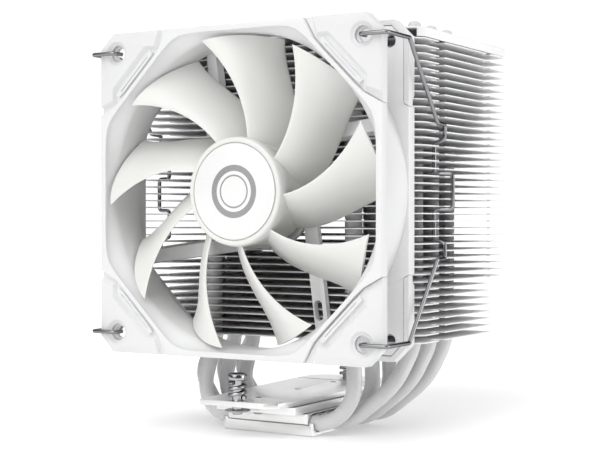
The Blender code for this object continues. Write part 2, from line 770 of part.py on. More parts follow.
def build_bar(materials):
    screw_holes = [circle(0.0023, 12, (SCREW_X, y)) for y in SCREW_Y]
    small_holes = [circle(0.0015, 12, (BAR_SCREW_X, y)) for y in BAR_SCREW_Y]
    holes = [circle(0.0017, 12, CENTRE_HOLE)] + screw_holes + small_holes
    place("mounting_bar", [sheet([BAR_OUTLINE] + holes, BAR_BOTTOM_Z, BAR_TOP_Z)], materials["nickel"])
    left, right = SPACER_X
    front, rear = SPACER_Y
    rim = [(left, front), (right, front), (right, rear), (left, rear)]
    spacer = sheet([rim] + small_holes, COVER_TOP_Z + GAP, SPACER_TOP_Z)
    place("spacer_plate", [spacer], materials["nickel"])
    low, high = BAR_SCREW_HEAD_Z
    profile = [(0, BAR_TOP_Z), (0.0012, BAR_TOP_Z), (0.0012, high), (0.0019, high), (0.0019, low), (0, low)]
    for side, y in zip(("front", "rear"), BAR_SCREW_Y):
        turned(f"bar_screw_{side}", profile, 12, materials["chrome"], Matrix.Translation((BAR_SCREW_X, y, 0)))


def build_spring_screws(materials):
    screw = [
        (0, SCREW_HEAD_Z[1]),
        (SCREW_HEAD_RADIUS - 0.0004, SCREW_HEAD_Z[1]),
        (SCREW_HEAD_RADIUS, SCREW_HEAD_Z[1] - 0.0004),
        (SCREW_HEAD_RADIUS, SCREW_HEAD_Z[0]),
        (SCREW_SHANK_RADIUS, SCREW_HEAD_Z[0]),
        (SCREW_SHANK_RADIUS, WASHER_Z[1] + 0.0001),
        (0.0013, WASHER_Z[1] + 0.0001),
        (0.0013, WASHER_Z[0] - 0.0001),
        (SCREW_SHANK_RADIUS, WASHER_Z[0] - 0.0001),
        (SCREW_SHANK_RADIUS, SCREW_TIP_Z + 0.0005),
        (SCREW_SHANK_RADIUS - 0.0005, SCREW_TIP_Z),
        (0, SCREW_TIP_Z),
    ]
    low, high = WASHER_Z
    washer = [(WASHER_RADIUS, high), (WASHER_RADIUS, low), (0.0016, low), (0.0016, high)]
    for side, y in zip(("front", "rear"), SCREW_Y):
        matrix = Matrix.Translation((SCREW_X, y, 0))
        turned(f"spring_screw_{side}", screw, 16, materials["chrome"], matrix)
        turned(f"retaining_washer_{side}", washer, 16, materials["steel"], matrix)
        place(f"coil_spring_{side}", [tube(spring_route(), SPRING_WIRE)], materials["chrome"], matrix)


def spring_route(steps_per_turn=8):
    low = BAR_TOP_Z + GAP + SPRING_WIRE
    high = SCREW_HEAD_Z[0] - GAP - SPRING_WIRE
    count = round(SPRING_TURNS * steps_per_turn)
    points = []
    for i in range(count + 1):
        angle = 2 * math.pi * i / steps_per_turn
        height = low + (high - low) * i / count
        points.append((SPRING_RADIUS * math.cos(angle), SPRING_RADIUS * math.sin(angle), height))
    return points


# Wire clips


def clip_route():
    """The right-hand clip: the upper half from its end in the fan's corner hole to its finger loop, then mirrored."""
    front = FAN_FRONT_Y
    upper = [
        (HOLE_OFFSET, front + 0.0030, 0.0525),
        (HOLE_OFFSET, CLIP_FRONT_Y, 0.0525),
        (CLIP_SIDE_X, CLIP_FRONT_Y, 0.0525),
        (CLIP_SIDE_X, front + 0.0155, 0.0525),
        (0.0637, front + 0.0360, 0.0244),
        (0.0636, front + 0.0424, 0.0240),
        (0.0635, front + 0.0424, 0.0189),
        (CLIP_NOTCH_X, front + 0.0424, 0.0172),
        (CLIP_NOTCH_X, front + 0.0424, 0.0065),
        (CLIP_HANDLE_X, front + 0.0443, 0.0064),
    ]
    lower = [(x, y, -z) for x, y, z in upper[::-1]]
    radii = (0.0012, 0.0012, 0.0012, 0.0015, 0.0008, 0.0008, 0.0008, 0.0012, 0.0015)
    corners = [(x, y, z + FAN_AXIS_Z) for x, y, z in upper + lower]
    return filleted(corners, radii + radii[::-1], (2,) * (len(corners) - 2))


def build_clips(materials):
    route = clip_route()
    place("wire_clip_right", [tube(route, CLIP_WIRE, 1)], materials["chrome"])
    place("wire_clip_left", [tube([(-p.x, p.y, p.z) for p in route], CLIP_WIRE, 1)], materials["chrome"])


def main():
    clear_scene()
    materials = make_materials()
    build_fan_frame(materials)
    build_corner_pads(materials)
    build_impeller(materials)
    build_rotor_inside(materials)
    build_stator(materials)
    build_heat_pipes(materials)
    build_fins(materials)
    build_top_plate(materials)
    build_base(materials)
    build_bar(materials)
    build_spring_screws(materials)
    build_clips(materials)


main()
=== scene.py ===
"""Looks of the CPU tower cooler: fine pieces, materials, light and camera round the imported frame."""

import json
import math

import bmesh
import bpy
from mathutils import Matrix, Vector

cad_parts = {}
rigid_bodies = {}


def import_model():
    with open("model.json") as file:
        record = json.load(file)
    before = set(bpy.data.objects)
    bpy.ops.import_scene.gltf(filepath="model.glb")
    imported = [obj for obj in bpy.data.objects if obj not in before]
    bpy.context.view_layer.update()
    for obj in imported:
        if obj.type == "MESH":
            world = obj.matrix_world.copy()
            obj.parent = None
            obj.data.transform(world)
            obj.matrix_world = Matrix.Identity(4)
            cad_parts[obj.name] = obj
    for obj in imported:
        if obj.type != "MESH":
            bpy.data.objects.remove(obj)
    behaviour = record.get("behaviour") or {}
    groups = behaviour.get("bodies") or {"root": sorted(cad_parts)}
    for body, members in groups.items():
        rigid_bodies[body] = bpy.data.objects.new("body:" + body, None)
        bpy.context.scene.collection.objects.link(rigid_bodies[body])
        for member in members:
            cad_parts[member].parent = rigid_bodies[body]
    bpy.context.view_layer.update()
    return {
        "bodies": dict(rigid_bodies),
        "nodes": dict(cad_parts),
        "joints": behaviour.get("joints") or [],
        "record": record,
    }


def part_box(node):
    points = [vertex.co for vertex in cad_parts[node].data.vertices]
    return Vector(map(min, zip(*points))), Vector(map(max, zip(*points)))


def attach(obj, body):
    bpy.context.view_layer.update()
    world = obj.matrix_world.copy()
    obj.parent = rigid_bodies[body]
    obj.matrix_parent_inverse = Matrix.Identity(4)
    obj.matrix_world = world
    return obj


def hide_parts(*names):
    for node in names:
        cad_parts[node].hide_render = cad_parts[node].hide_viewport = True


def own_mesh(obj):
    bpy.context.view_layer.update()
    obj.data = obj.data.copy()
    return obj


# Camera
CAMERA_PLACE = (0.27178, -0.4489, 0.07947)
CAMERA_TURN = (math.pi / 2 - 0.0041, 0, 0.5424)
CAMERA_LENS = 81.6

# Fan frame and pads, in the fan's own frame: y = 0 on its front face
FAN_DEPTH = 0.025
FAN_HALF = 0.060
FLANGE = 0.0045
CORNER_CUT = 0.054
DUCT_RADIUS = 0.0574
DUCT_OUTER_RADIUS = 0.0597
MOUTH_FLAT = 0.0580
MOUTH_SLANT = 0.0592
MOUTH_ROUNDING = 34
HOLE_OFFSET = 0.0525
HOLE_RADIUS = 0.0023
PAD_SEAM = 0.0295
PAD_BULGE = 0.0365
PAD_THICKNESS = 0.0019
PAD_RECESS = 0.0014
PLATEAU_SLOPE = 0.8
SEAM_GAP = 0.0003
STRUT_OFFSET = 0.0172
STRUT_TILT = math.radians(7.5)
STRUT_WIDTH = 0.0063
STRUT_FRONT = 0.0216
STRUT_REACH = 0.0592
HOLDER_RADIUS = 0.021
CABLE_SLOT_RADIUS = 0.0015
CABLE_SLOT_HALF = 0.00225
CABLE_SLOT_ALONG = 0.0435
PAD_BAR = (
    (0.0372, 0.0528),
    (0.0360, 0.0516),
    (0.0380, 0.0492),
    (0.0492, 0.0380),
    (0.0516, 0.0360),
    (0.0528, 0.0372),
)
PAD_LINE = ((0.0385, 0.0505), (0.0381, 0.0501), (0.0501, 0.0381), (0.0505, 0.0385))

# Impeller
BLADES = 9
BLADE_TIP_RADIUS = 0.0566
BLADE_ROOT_RADIUS = 0.0190
BLADE_THICKNESS = 0.0012
BLADE_TIP_ANGLE = 24.6
BLADE_LEADING_SWEEP = 28.4
BLADE_TIP_CHORD = 26.2
BLADE_TRAILING_SWEEP = 41.6
BLADE_TRAILING_HOLLOW = 9.5
BLADE_LEADING_DEPTH = (0.0030, 0.0014)
BLADE_TRAILING_DEPTH = (0.0196, 0.0173)
BLADE_CAMBER = (1.25, 1.8)
HUB_PROFILE = (
    (0, 0.0040),
    (0.0183, 0.0040),
    (0.0183, 0.0204),
    (0.0196, 0.0204),
    (0.0197, 0.0060),
    (0.0200, 0.0050),
    (0.0198, 0.0026),
    (0.0196, 0.0014),
    (0.0193, 0.0010),
    (0.0188, 0.0008),
    (0.0180, 0.0008),
    (0.0177, 0.0010),
    (0.0176, 0.0015),
    (0, 0.0015),
)
CAP_PROFILE = (
    (0, 0.0012),
    (0.0172, 0.0012),
    (0.0173, 0.0011),
    (0.0173, 0.0009),
    (0.0171, 0.0008),
    (0, 0.0008),
)
LABEL_PROFILE = ((0, 0.0250), (0.0148, 0.0250), (0.0150, 0.0249), (0.0150, 0.0247), (0, 0.0247))

# Fins and pipes
FINS = 41
SHORT_FINS = 8
FIN_PITCH = 0.002695
FIN_THICKNESS = 0.0004
FIN_CHAMFER = (0.0035, 0.0040)
CLIP_NOTCH = (-0.0038, 0.0012, 0.0036)
REAR_NOTCH = (0.0390, 0.0423, 0.0020)
DRIVER_HOLE = (-0.0046, 0.0481)
DRIVER_HOLE_RADIUS = 0.0042
PIPES = 6
PIPE_RADIUS = 0.00285
PIPE_HOLE_RADIUS = 0.00305
PIPE_BASE_PITCH = 0.007
PIPE_BASE_Z = 0.0045
PIPE_TOP_Z = 0.1540
INNER_LEG = (0.0310, 0.0063)
OUTER_LEG = (0.0448, 0.0215)
PIPE_TIP = ((0.0052, 1.0), (0.0040, 0.86), (0.0016, 0.84), (0.0008, 0.74), (0.0003, 0.5), (0.00002, 0.1))

# Mount
FOOT_STEP = 0.0004
BAR_GROOVE = (0.0377, 0.0396)
BASE_EDGES = {
    "base_lower_block": 0.00016,
    "base_cover_block": 0.00014,
    "spacer_plate": 0.00014,
    "mounting_bar": 0.00018,
}
SCREW_X = -0.0046
SCREW_Y = {"front": -0.0347, "rear": 0.0481}
SPRING_RADIUS = 0.00277
SPRING_WIRE = 0.00066
SPRING_TURNS = 2.75
SPRING_SPAN = (0.0143, 0.0198)
SPRING_FLAT = 0.05
SCREW_HEAD = 0.0025
SHANK_RADIUS = 0.0019
SHANK_NECK = 0.0013
RECESS_REACH = 0.0024
RECESS_DEPTH = 0.0010
WASHER_PROFILE = (
    (0.0048, 0.0098),
    (0.0048, 0.0095),
    (0.0047, 0.0094),
    (0.0016, 0.0094),
    (0.0016, 0.0099),
    (0.0047, 0.0099),
)

# Wire clips
CLIP_WIRE = 0.00075
CLIP_CORNERS = (
    (HOLE_OFFSET, 0.0030, 0.0525),
    (HOLE_OFFSET, -0.0015, 0.0525),
    (0.0628, -0.0015, 0.0525),
    (0.0628, 0.0155, 0.0525),
    (0.0637, 0.0360, 0.0244),
    (0.0636, 0.0424, 0.0240),
    (0.0635, 0.0424, 0.0189),
    (0.0594, 0.0424, 0.0172),
    (0.0594, 0.0424, 0.0065),
    (0.0658, 0.0443, 0.0064),
)
CLIP_RADII = (0.0012, 0.0012, 0.0012, 0.0015, 0.0009, 0.0009, 0.0008, 0.0012, 0.0015)

# Light: strengths of the world's dim room and of the bright areas in it, and where two of those areas lie
BACKDROP = (-0.516, 0.857, 0)
ROOM = 0.12
WALL = 0.95
CEILING = 0.95
KEY_SIDE = (-0.08, -0.80, 0.60)
KEY = 2.3
RIGHT_SIDE = (0.88, 0.45, 0.12)
RIGHT = 2.6
FLOOR_GLOW = 0.22

# Materials
BUMP_STRENGTH = 0.6
BROAD_GRAIN = 35
HUB_RINGS = ((0.0085, 0.0011), (0.0058, 0.0003))
HUB_RING_COLOR = (0.30, 0.30, 0.31, 1)

HELPERS = bpy.data.collections.new("helpers")


# Materials


def nodes_of(material):
    tree = material.node_tree
    return tree, tree.nodes["Principled BSDF"]


def grain(tree, scale, detail=4.0, stretch=(1, 1, 1)):
    """A noise texture in the object's own space; stretch below 1 draws it out along that axis."""
    place = tree.nodes.new("ShaderNodeTexCoord")
    mapping = tree.nodes.new("ShaderNodeMapping")
    mapping.inputs["Scale"].default_value = stretch
    noise = tree.nodes.new("ShaderNodeTexNoise")
    noise.inputs["Scale"].default_value = scale
    noise.inputs["Detail"].default_value = detail
    tree.links.new(place.outputs["Object"], mapping.inputs["Vector"])
    tree.links.new(mapping.outputs["Vector"], noise.inputs["Vector"])
    return noise.outputs["Fac"]


def ramp(tree, factor, low, high, start=0.3, end=0.7):
    """A colour that runs from low to high as factor does from start to end."""
    node = tree.nodes.new("ShaderNodeValToRGB")
    node.color_ramp.elements[0].position = start
    node.color_ramp.elements[1].position = end
    node.color_ramp.elements[0].color = (*low, 1)
    node.color_ramp.elements[1].color = (*high, 1)
    tree.links.new(factor, node.inputs["Fac"])
    return node.outputs["Color"]


def spread(tree, factor, low, high):
    node = tree.nodes.new("ShaderNodeMapRange")
    node.inputs["From Min"].default_value = 0.3
    node.inputs["From Max"].default_value = 0.7
    node.inputs["To Min"].default_value = low
    node.inputs["To Max"].default_value = high
    tree.links.new(factor, node.inputs["Value"])
    return node.outputs["Result"]


def bump(tree, shader, factor, height):
    node = tree.nodes.new("ShaderNodeBump")
    node.inputs["Strength"].default_value = BUMP_STRENGTH
    node.inputs["Distance"].default_value = height
    tree.links.new(factor, node.inputs["Height"])
    tree.links.new(node.outputs["Normal"], shader.inputs["Normal"])


def finish(name, color, roughness, metallic=0.0, shade=0.03, grain_scale=900, height=0.00001,
           stretch=(1, 1, 1), coat=0.0, edge=1.0):
    """A surface whose colour, gloss and relief vary a little; edge below 1 darkens a metal's outline."""
    material = bpy.data.materials.new(name)
    material.use_nodes = True
    tree, shader = nodes_of(material)
    shader.inputs["Metallic"].default_value = metallic
    shader.inputs["Coat Weight"].default_value = coat
    shader.inputs["Specular Tint"].default_value = (edge, edge, edge, 1)
    broad = grain(tree, BROAD_GRAIN, 3, stretch)
    fine = grain(tree, grain_scale, 5, stretch)
    darker = tuple(c * (1 - shade) for c in color)
    tree.links.new(ramp(tree, broad, darker, color), shader.inputs["Base Color"])
    tree.links.new(spread(tree, fine, roughness * 0.85, roughness * 1.15), shader.inputs["Roughness"])
    bump(tree, shader, fine, height)
    return material


def hub_disc_material():
    """A white disc with two plain grey rings printed round its centre."""
    material = finish(
        "hub_disc_print", (0.82, 0.82, 0.815), 0.28, shade=0.004, grain_scale=2500, height=0.0000008, coat=0.2
    )
    tree, shader = nodes_of(material)
    base = shader.inputs["Base Color"].links[0].from_socket
    place = tree.nodes.new("ShaderNodeTexCoord")
    length = tree.nodes.new("ShaderNodeVectorMath")
    length.operation = "LENGTH"
    tree.links.new(place.outputs["Object"], length.inputs[0])
    rings = None
    for radius, half_width in HUB_RINGS:
        near = tree.nodes.new("ShaderNodeMath")
        near.operation = "COMPARE"
        near.inputs[1].default_value = radius
        near.inputs[2].default_value = half_width
        tree.links.new(length.outputs["Value"], near.inputs[0])
        if rings:
            both = tree.nodes.new("ShaderNodeMath")
            both.operation = "MAXIMUM"
            tree.links.new(rings, both.inputs[0])
            tree.links.new(near.outputs[0], both.inputs[1])
            rings = both.outputs[0]
        else:
            rings = near.outputs[0]
    mix = tree.nodes.new("ShaderNodeMix")
    mix.data_type = "RGBA"
    mix.inputs["B"].default_value = HUB_RING_COLOR
    tree.links.new(rings, mix.inputs["Factor"])
    tree.links.new(base, mix.inputs["A"])
    tree.links.new(mix.outputs["Result"], shader.inputs["Base Color"])
    return material


def make_materials():
    """The finish of each material slot, and of the clips' wire."""
    moulding = (0.77, 0.77, 0.775)
    nickel = (0.91, 0.91, 0.905)
    pipe_coat = (0.64, 0.64, 0.645)
    winding = (0.66, 0.30, 0.16)
    return {
        "frame_plastic": finish("frame_moulding", moulding, 0.45, grain_scale=1400, height=0.00002),
        "pad_rubber": finish("pad_rubber", (0.74, 0.74, 0.745), 0.58, grain_scale=1800, height=0.00003),
        "blade_plastic": finish(
            "blade_plastic", (0.76, 0.76, 0.73), 0.36, shade=0.01, grain_scale=3000, height=0.000002, coat=0.1
        ),
        "hub_print": hub_disc_material(),
        "fin_paint": finish("fin_coat", (0.88, 0.88, 0.885), 0.52, grain_scale=1500, height=0.00001),
        "pipe_paint": finish("pipe_coat", pipe_coat, 0.30, grain_scale=1200, height=0.000012, coat=0.1),
        "nickel": finish("nickel_plate", nickel, 0.38, 1.0, 0.04, 1200, 0.000006, (1, 0.06, 1)),
        "chrome": finish("bright_plate", (0.46, 0.46, 0.47), 0.07, 1.0, 0.05, 1600, 0.000002, edge=0.05),
        "clip_wire": finish("spring_wire", (0.30, 0.30, 0.31), 0.08, 1.0, 0.05, 1600, 0.000002, edge=0.3),
        "steel": finish("plain_steel", (0.42, 0.42, 0.43), 0.34, 1.0, 0.10, 1500, 0.00001, (1, 1, 0.1)),
        "copper_wire": finish("winding_enamel", winding, 0.32, 0.9, 0.15, 2200, 0.00004, (1, 0.05, 1)),
        "circuit_board": finish("board_resist", (0.03, 0.19, 0.08), 0.45, 0.0, 0.20, 1500, 0.00001),
        "bronze": finish("sintered_bronze", (0.52, 0.35, 0.18), 0.48, 0.9, 0.20, 2500, 0.00003),
    }


# Shapes


def box(low, high):
    shape = bmesh.new()
    bmesh.ops.create_cube(shape, size=1)
    size = Vector(high) - Vector(low)
    shape.transform(Matrix.Translation((Vector(high) + Vector(low)) / 2) @ Matrix.Diagonal((*size, 1)))
    return shape


def rod(radius, start, end, sides=48, end_radius=None):
    start, end = Vector(start), Vector(end)
    shape = bmesh.new()
    far = radius if end_radius is None else end_radius
    bmesh.ops.create_cone(
        shape, cap_ends=True, segments=sides, radius1=radius, radius2=far, depth=(end - start).length
    )
    turn = (end - start).to_track_quat("Z", "Y").to_matrix().to_4x4()
    shape.transform(Matrix.Translation((start + end) / 2) @ turn)
    return shape


def welded(curve):
    """The curve's mesh with its caps joined to its sides."""
    guide = bpy.data.objects.new("guide", curve)
    HELPERS.objects.link(guide)
    bpy.context.view_layer.update()
    graph = bpy.context.evaluated_depsgraph_get()
    mesh = bpy.data.meshes.new_from_object(guide.evaluated_get(graph))
    shape = bmesh.new()
    shape.from_mesh(mesh)
    bmesh.ops.remove_doubles(shape, verts=shape.verts, dist=0.000001)
    bmesh.ops.recalc_face_normals(shape, faces=shape.faces)
    bpy.data.objects.remove(guide)
    bpy.data.curves.remove(curve)
    bpy.data.meshes.remove(mesh)
    return shape


def sheet(outlines, low, high, upright=False):
    """A flat plate with holes. It spans low to high along Z, or along Y where upright is set."""
    curve = bpy.data.curves.new("outline", "CURVE")
    curve.dimensions = "2D"
    curve.fill_mode = "BOTH"
    curve.extrude = (high - low) / 2
    for points in outlines:
        spline = curve.splines.new("POLY")
        spline.points.add(len(points) - 1)
        for point, (across, along) in zip(spline.points, points):
            point.co = (across, along, 0, 1)
        spline.use_cyclic_u = True
    shape = welded(curve)
    turn = Matrix.Rotation(math.pi / 2, 4, "X") if upright else Matrix.Identity(4)
    shift = (0, (low + high) / 2, 0) if upright else (0, 0, (low + high) / 2)
    shape.transform(Matrix.Translation(shift) @ turn)
    return shape


def tube(points, radius, resolution=4, factors=None):
    """A round wire or pipe along points; factors scale its radius at each point."""
    curve = bpy.data.curves.new("route", "CURVE")
    curve.dimensions = "3D"
    curve.bevel_depth = radius
    curve.bevel_resolution = resolution
    curve.use_fill_caps = True
    spline = curve.splines.new("POLY")
    spline.points.add(len(points) - 1)
    for point, place, factor in zip(spline.points, points, factors or [1] * len(points)):
        point.co = (*place, 1)
        point.radius = factor
    return welded(curve)


def turned(profile, steps):
    """A solid of revolution about Z from (radius, height) points that run down the outer side."""
    shape = bmesh.new()
    spun = [shape.verts.new((radius, 0, height)) for radius, height in profile]
    edges = [shape.edges.new(pair) for pair in zip(spun, spun[1:])]
    if profile[0][0] > 0:
        edges.append(shape.edges.new((spun[-1], spun[0])))
    bmesh.ops.spin(shape, geom=spun + edges, cent=(0, 0, 0), axis=(0, 0, 1), angle=2 * math.pi, steps=steps)
    bmesh.ops.remove_doubles(shape, verts=shape.verts, dist=0.000001)
    bmesh.ops.recalc_face_normals(shape, faces=shape.faces)
    return shape


def circle(radius, sides, at=(0, 0)):
    angles = [2 * math.pi * i / sides for i in range(sides)]
    return [(at[0] + radius * math.cos(angle), at[1] + radius * math.sin(angle)) for angle in angles]


def rectangle(left, near, right, far):
    return [(left, near), (right, near), (right, far), (left, far)]


def filleted(corners, radii, steps):
    """The points of a polyline whose inner corners are replaced by arcs of the given radii."""
    points = [Vector(corners[0])]
    for before, corner, after, radius in zip(corners, corners[1:], corners[2:], radii):
        corner = Vector(corner)
        back = (Vector(before) - corner).normalized()
        ahead = (Vector(after) - corner).normalized()
        half = back.angle(ahead) / 2
        centre = corner + (back + ahead).normalized() * radius / math.sin(half)
        start = (corner + back * radius / math.tan(half) - centre).normalized()
        end = (corner + ahead * radius / math.tan(half) - centre).normalized()
        points += [centre + start.slerp(end, k / steps) * radius for k in range(steps + 1)]
    points.append(Vector(corners[-1]))
    return points


def joined(shapes):
    merged = bmesh.new()
    for shape in shapes:
        scratch = bpy.data.meshes.new("scratch")
        shape.to_mesh(scratch)
        shape.free()
        merged.from_mesh(scratch)
        bpy.data.meshes.remove(scratch)
    return merged


# Objects


def put(name, shapes, matrix=None, helper=False):
    mesh = bpy.data.meshes.new(name)
    merged = joined(shapes)
    merged.to_mesh(mesh)
    merged.free()
    obj = bpy.data.objects.new(name, mesh)
    obj.matrix_world = matrix or Matrix.Identity(4)
    (HELPERS if helper else bpy.context.scene.collection).objects.link(obj)
    return obj


def combine(obj, shapes, operation):
    """Joins shapes to obj, or cuts them from it, and applies the result to its mesh."""
    operand = put("operand", shapes, obj.matrix_world.copy(), helper=True)
    modifier = obj.modifiers.new(operation, "BOOLEAN")
    modifier.operation = operation
    modifier.solver = "MANIFOLD"
    modifier.object = operand
    apply_modifiers(obj)
    bpy.data.objects.remove(operand)


def apply_modifiers(obj):
    bpy.context.view_layer.update()
    graph = bpy.context.evaluated_depsgraph_get()
    mesh = bpy.data.meshes.new_from_object(obj.evaluated_get(graph))
    obj.modifiers.clear()
    obj.data = mesh


def soften(obj, width, segments=2, angle=35):
    """Rounds every edge sharper than angle."""
    shape = bmesh.new()
    shape.from_mesh(obj.data)
    bmesh.ops.remove_doubles(shape, verts=shape.verts, dist=0.000005)
    bmesh.ops.dissolve_limit(shape, angle_limit=math.radians(1), verts=shape.verts, edges=shape.edges)
    shape.to_mesh(obj.data)
    shape.free()
    modifier = obj.modifiers.new("Soft edges", "BEVEL")
    modifier.width = width
    modifier.segments = segments
    modifier.limit_method = "ANGLE"
    modifier.angle_limit = math.radians(angle)
    modifier.use_clamp_overlap = True
    apply_modifiers(obj)


def show(obj, body, material, replaces, smooth=32):
    """Gives a piece its finish and its place in the frame."""
    obj.data.materials.clear()
    obj.data.materials.append(material)
    obj.data.shade_smooth()
    obj.data.set_sharp_from_angle(angle=math.radians(smooth))
    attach(obj, body)
    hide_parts(*replaces)
    return obj


def refined(node, frame, materials, slot, body, width):
    """A CAD node's own shape with softened edges."""
    source = frame["nodes"][node]
    obj = bpy.data.objects.new(f"{node}_fine", source.data.copy())
    bpy.context.scene.collection.objects.link(obj)
    soften(obj, width)
    return show(obj, body, materials[slot], [node])


def quarter_turns(shape_of):
    shapes = []
    for quarter in range(4):
        shape = shape_of()
        shape.transform(Matrix.Rotation(quarter * math.pi / 2, 4, "Y"))
        shapes.append(shape)
    return shapes


def fan_place():
    low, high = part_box("fan_frame")
    return Matrix.Translation((0, low.y, (low.z + high.z) / 2))


def fan_axis():
    return fan_place() @ Matrix.Rotation(-math.pi / 2, 4, "X")


# Fan frame


def pad_outline(out=0.0, gap=0.0):
    """The corner that a pad covers: its inner side steps in round a raised bar. gap widens it inwards."""
    half = FAN_HALF + out
    cut = CORNER_CUT + out * math.tan(math.pi / 8)
    bulge = PAD_BULGE - gap
    seam = PAD_SEAM - gap
    near = [(seam - out * 0.5, half), (bulge - 0.0030, 0.0530 - gap), (bulge, 0.0498 - gap)]
    return near + [(z, x) for x, z in near[::-1]] + [(half, cut), (cut, half)]


def mouth_radius(angle):
    """Distance to the rounded octagonal mouth's edge."""
    total = 0
    for k in range(8):
        reach = MOUTH_SLANT if k % 2 else MOUTH_FLAT
        total += (max(math.cos(angle - k * math.pi / 4), 0) / reach) ** MOUTH_ROUNDING
    return total ** (-1 / MOUTH_ROUNDING)


def loft(rings):
    """A closed solid through rings of equal length."""
    shape = bmesh.new()
    loops = [[shape.verts.new(point) for point in ring] for ring in rings]
    for near, far in zip(loops, loops[1:]):
        for i, j in zip(range(len(near)), [*range(1, len(near)), 0]):
            shape.faces.new((near[i], near[j], far[j], far[i]))
    shape.faces.new(loops[0])
    shape.faces.new(loops[-1])
    bmesh.ops.recalc_face_normals(shape, faces=shape.faces)
    return shape


def duct_space(sides=128):
    """The air path: an octagonal mouth at each face that flows into a round duct."""
    steps = 8
    funnel = 0.0065
    entry = [(-0.0004, 0.0), *((funnel * k / steps, k / steps) for k in range(1, steps + 1))]
    stations = entry + [(FAN_DEPTH - depth, share) for depth, share in entry[::-1]]
    rings = []
    for depth, share in stations:
        ease = share * share * (3 - 2 * share)
        ring = []
        for i in range(sides):
            angle = 2 * math.pi * i / sides
            radius = mouth_radius(angle) * (1 - ease) + DUCT_RADIUS * ease
            ring.append((radius * math.cos(angle), depth, radius * math.sin(angle)))
        rings.append(ring)
    return loft(rings)


def strut():
    """A strut with a sloped, blade-like front face."""
    half = STRUT_WIDTH / 2
    section = [
        (-half, FAN_DEPTH - 0.0006),
        (-half + 0.0012, STRUT_FRONT),
        (half - 0.0002, STRUT_FRONT + 0.0010),
        (half, FAN_DEPTH - 0.0002),
    ]
    rings = [[(x, y, z) for z, y in section] for x in (0, STRUT_REACH)]
    shape = loft(rings)
    shape.transform(Matrix.Translation((0, 0, STRUT_OFFSET)) @ Matrix.Rotation(-STRUT_TILT, 4, "Y"))
    return shape


def cable_slot():
    """The rounded slot in the strut that points down."""
    outline = []
    for i in range(24):
        angle = 2 * math.pi * (i + 0.5) / 24
        shift = math.copysign(CABLE_SLOT_HALF, math.cos(angle))
        outline.append((CABLE_SLOT_RADIUS * math.cos(angle) + shift, CABLE_SLOT_RADIUS * math.sin(angle)))
    shape = sheet([outline], STRUT_FRONT - 0.001, FAN_DEPTH + 0.001, upright=True)
    shape.transform(Matrix.Translation((CABLE_SLOT_ALONG, 0, 0)))
    shape.transform(Matrix.Translation((0, 0, STRUT_OFFSET)) @ Matrix.Rotation(-STRUT_TILT, 4, "Y"))
    shape.transform(Matrix.Rotation(math.pi / 2, 4, "Y"))
    return shape


def motor_holder():
    profile = [
        (HOLDER_RADIUS, FAN_DEPTH - 0.0004),
        (HOLDER_RADIUS, 0.0224),
        (HOLDER_RADIUS - 0.0004, 0.0220),
        (0.0042, 0.0220),
        (0.0042, 0.0075),
        (0.0031, 0.0075),
        (0.0031, 0.0220),
        (0.0022, 0.0220),
        (0.0022, 0.0228),
        (0.0034, 0.0228),
        (0.0034, 0.0244),
        (0.0153, 0.0244),
        (0.0153, FAN_DEPTH),
        (HOLDER_RADIUS - 0.0004, FAN_DEPTH),
    ]
    shape = turned(profile, 96)
    shape.transform(Matrix.Rotation(-math.pi / 2, 4, "X"))
    return shape


def square_outline(half, cut):
    corner = [(half, cut), (cut, half)]
    turns = ((1, 1, 1), (-1, 1, -1), (-1, -1, 1), (1, -1, -1))
    return [(x * across, z * up) for across, up, order in turns for x, z in corner[::order]]


def corner_rods(radius, low, high, far=None):
    return quarter_turns(
        lambda: rod(radius, (HOLE_OFFSET, low, HOLE_OFFSET), (HOLE_OFFSET, high, HOLE_OFFSET), 40, far)
    )


def build_frame(materials):
    outline = square_outline(FAN_HALF, CORNER_CUT)
    flanges = [sheet([outline], low, low + FLANGE, upright=True) for low in (0, FAN_DEPTH - FLANGE)]
    frame = put("fan_frame_fine", flanges, fan_place())
    combine(frame, [rod(DUCT_OUTER_RADIUS, (0, 0.002, 0), (0, FAN_DEPTH - 0.002, 0), 128)], "UNION")
    rooms = []
    for low, high in ((-0.001, FLANGE + 0.0001), (FAN_DEPTH - FLANGE - 0.0001, FAN_DEPTH + 0.001)):
        rooms += quarter_turns(lambda: sheet([pad_outline(0.001, SEAM_GAP)], low, high, upright=True))
    combine(frame, rooms, "DIFFERENCE")
    inset = PAD_THICKNESS + SEAM_GAP
    cores = []
    core = square_corner(inset)
    for low, high in ((inset, FLANGE - 0.0002), (FAN_DEPTH - FLANGE + 0.0002, FAN_DEPTH - inset)):
        cores += quarter_turns(lambda: sheet([core], low, high, upright=True))
    combine(frame, cores, "UNION")
    combine(frame, [duct_space()], "DIFFERENCE")
    struts = put("struts", quarter_turns(strut), fan_place(), helper=True)
    motor_room = rod(HOLDER_RADIUS - 0.003, (0, 0, 0), (0, FAN_DEPTH + 0.001, 0), 96)
    combine(struts, [motor_room], "DIFFERENCE")
    arms = bmesh.new()
    arms.from_mesh(struts.data)
    bpy.data.objects.remove(struts)
    combine(frame, [arms], "UNION")
    combine(frame, [motor_holder()], "UNION")
    combine(frame, corner_rods(HOLE_RADIUS, -0.001, FAN_DEPTH + 0.001) + [cable_slot()], "DIFFERENCE")
    soften(frame, 0.00030, 2, 40)
    show(frame, "fan", materials["frame_plastic"], ["fan_frame"])


def square_corner(inset):
    half = FAN_HALF - inset
    cut = CORNER_CUT - inset * math.tan(math.pi / 8)
    return [(0.026, half), (0.031, 0.0475), (0.0475, 0.031), (half, 0.026), (half, cut), (cut, half)]


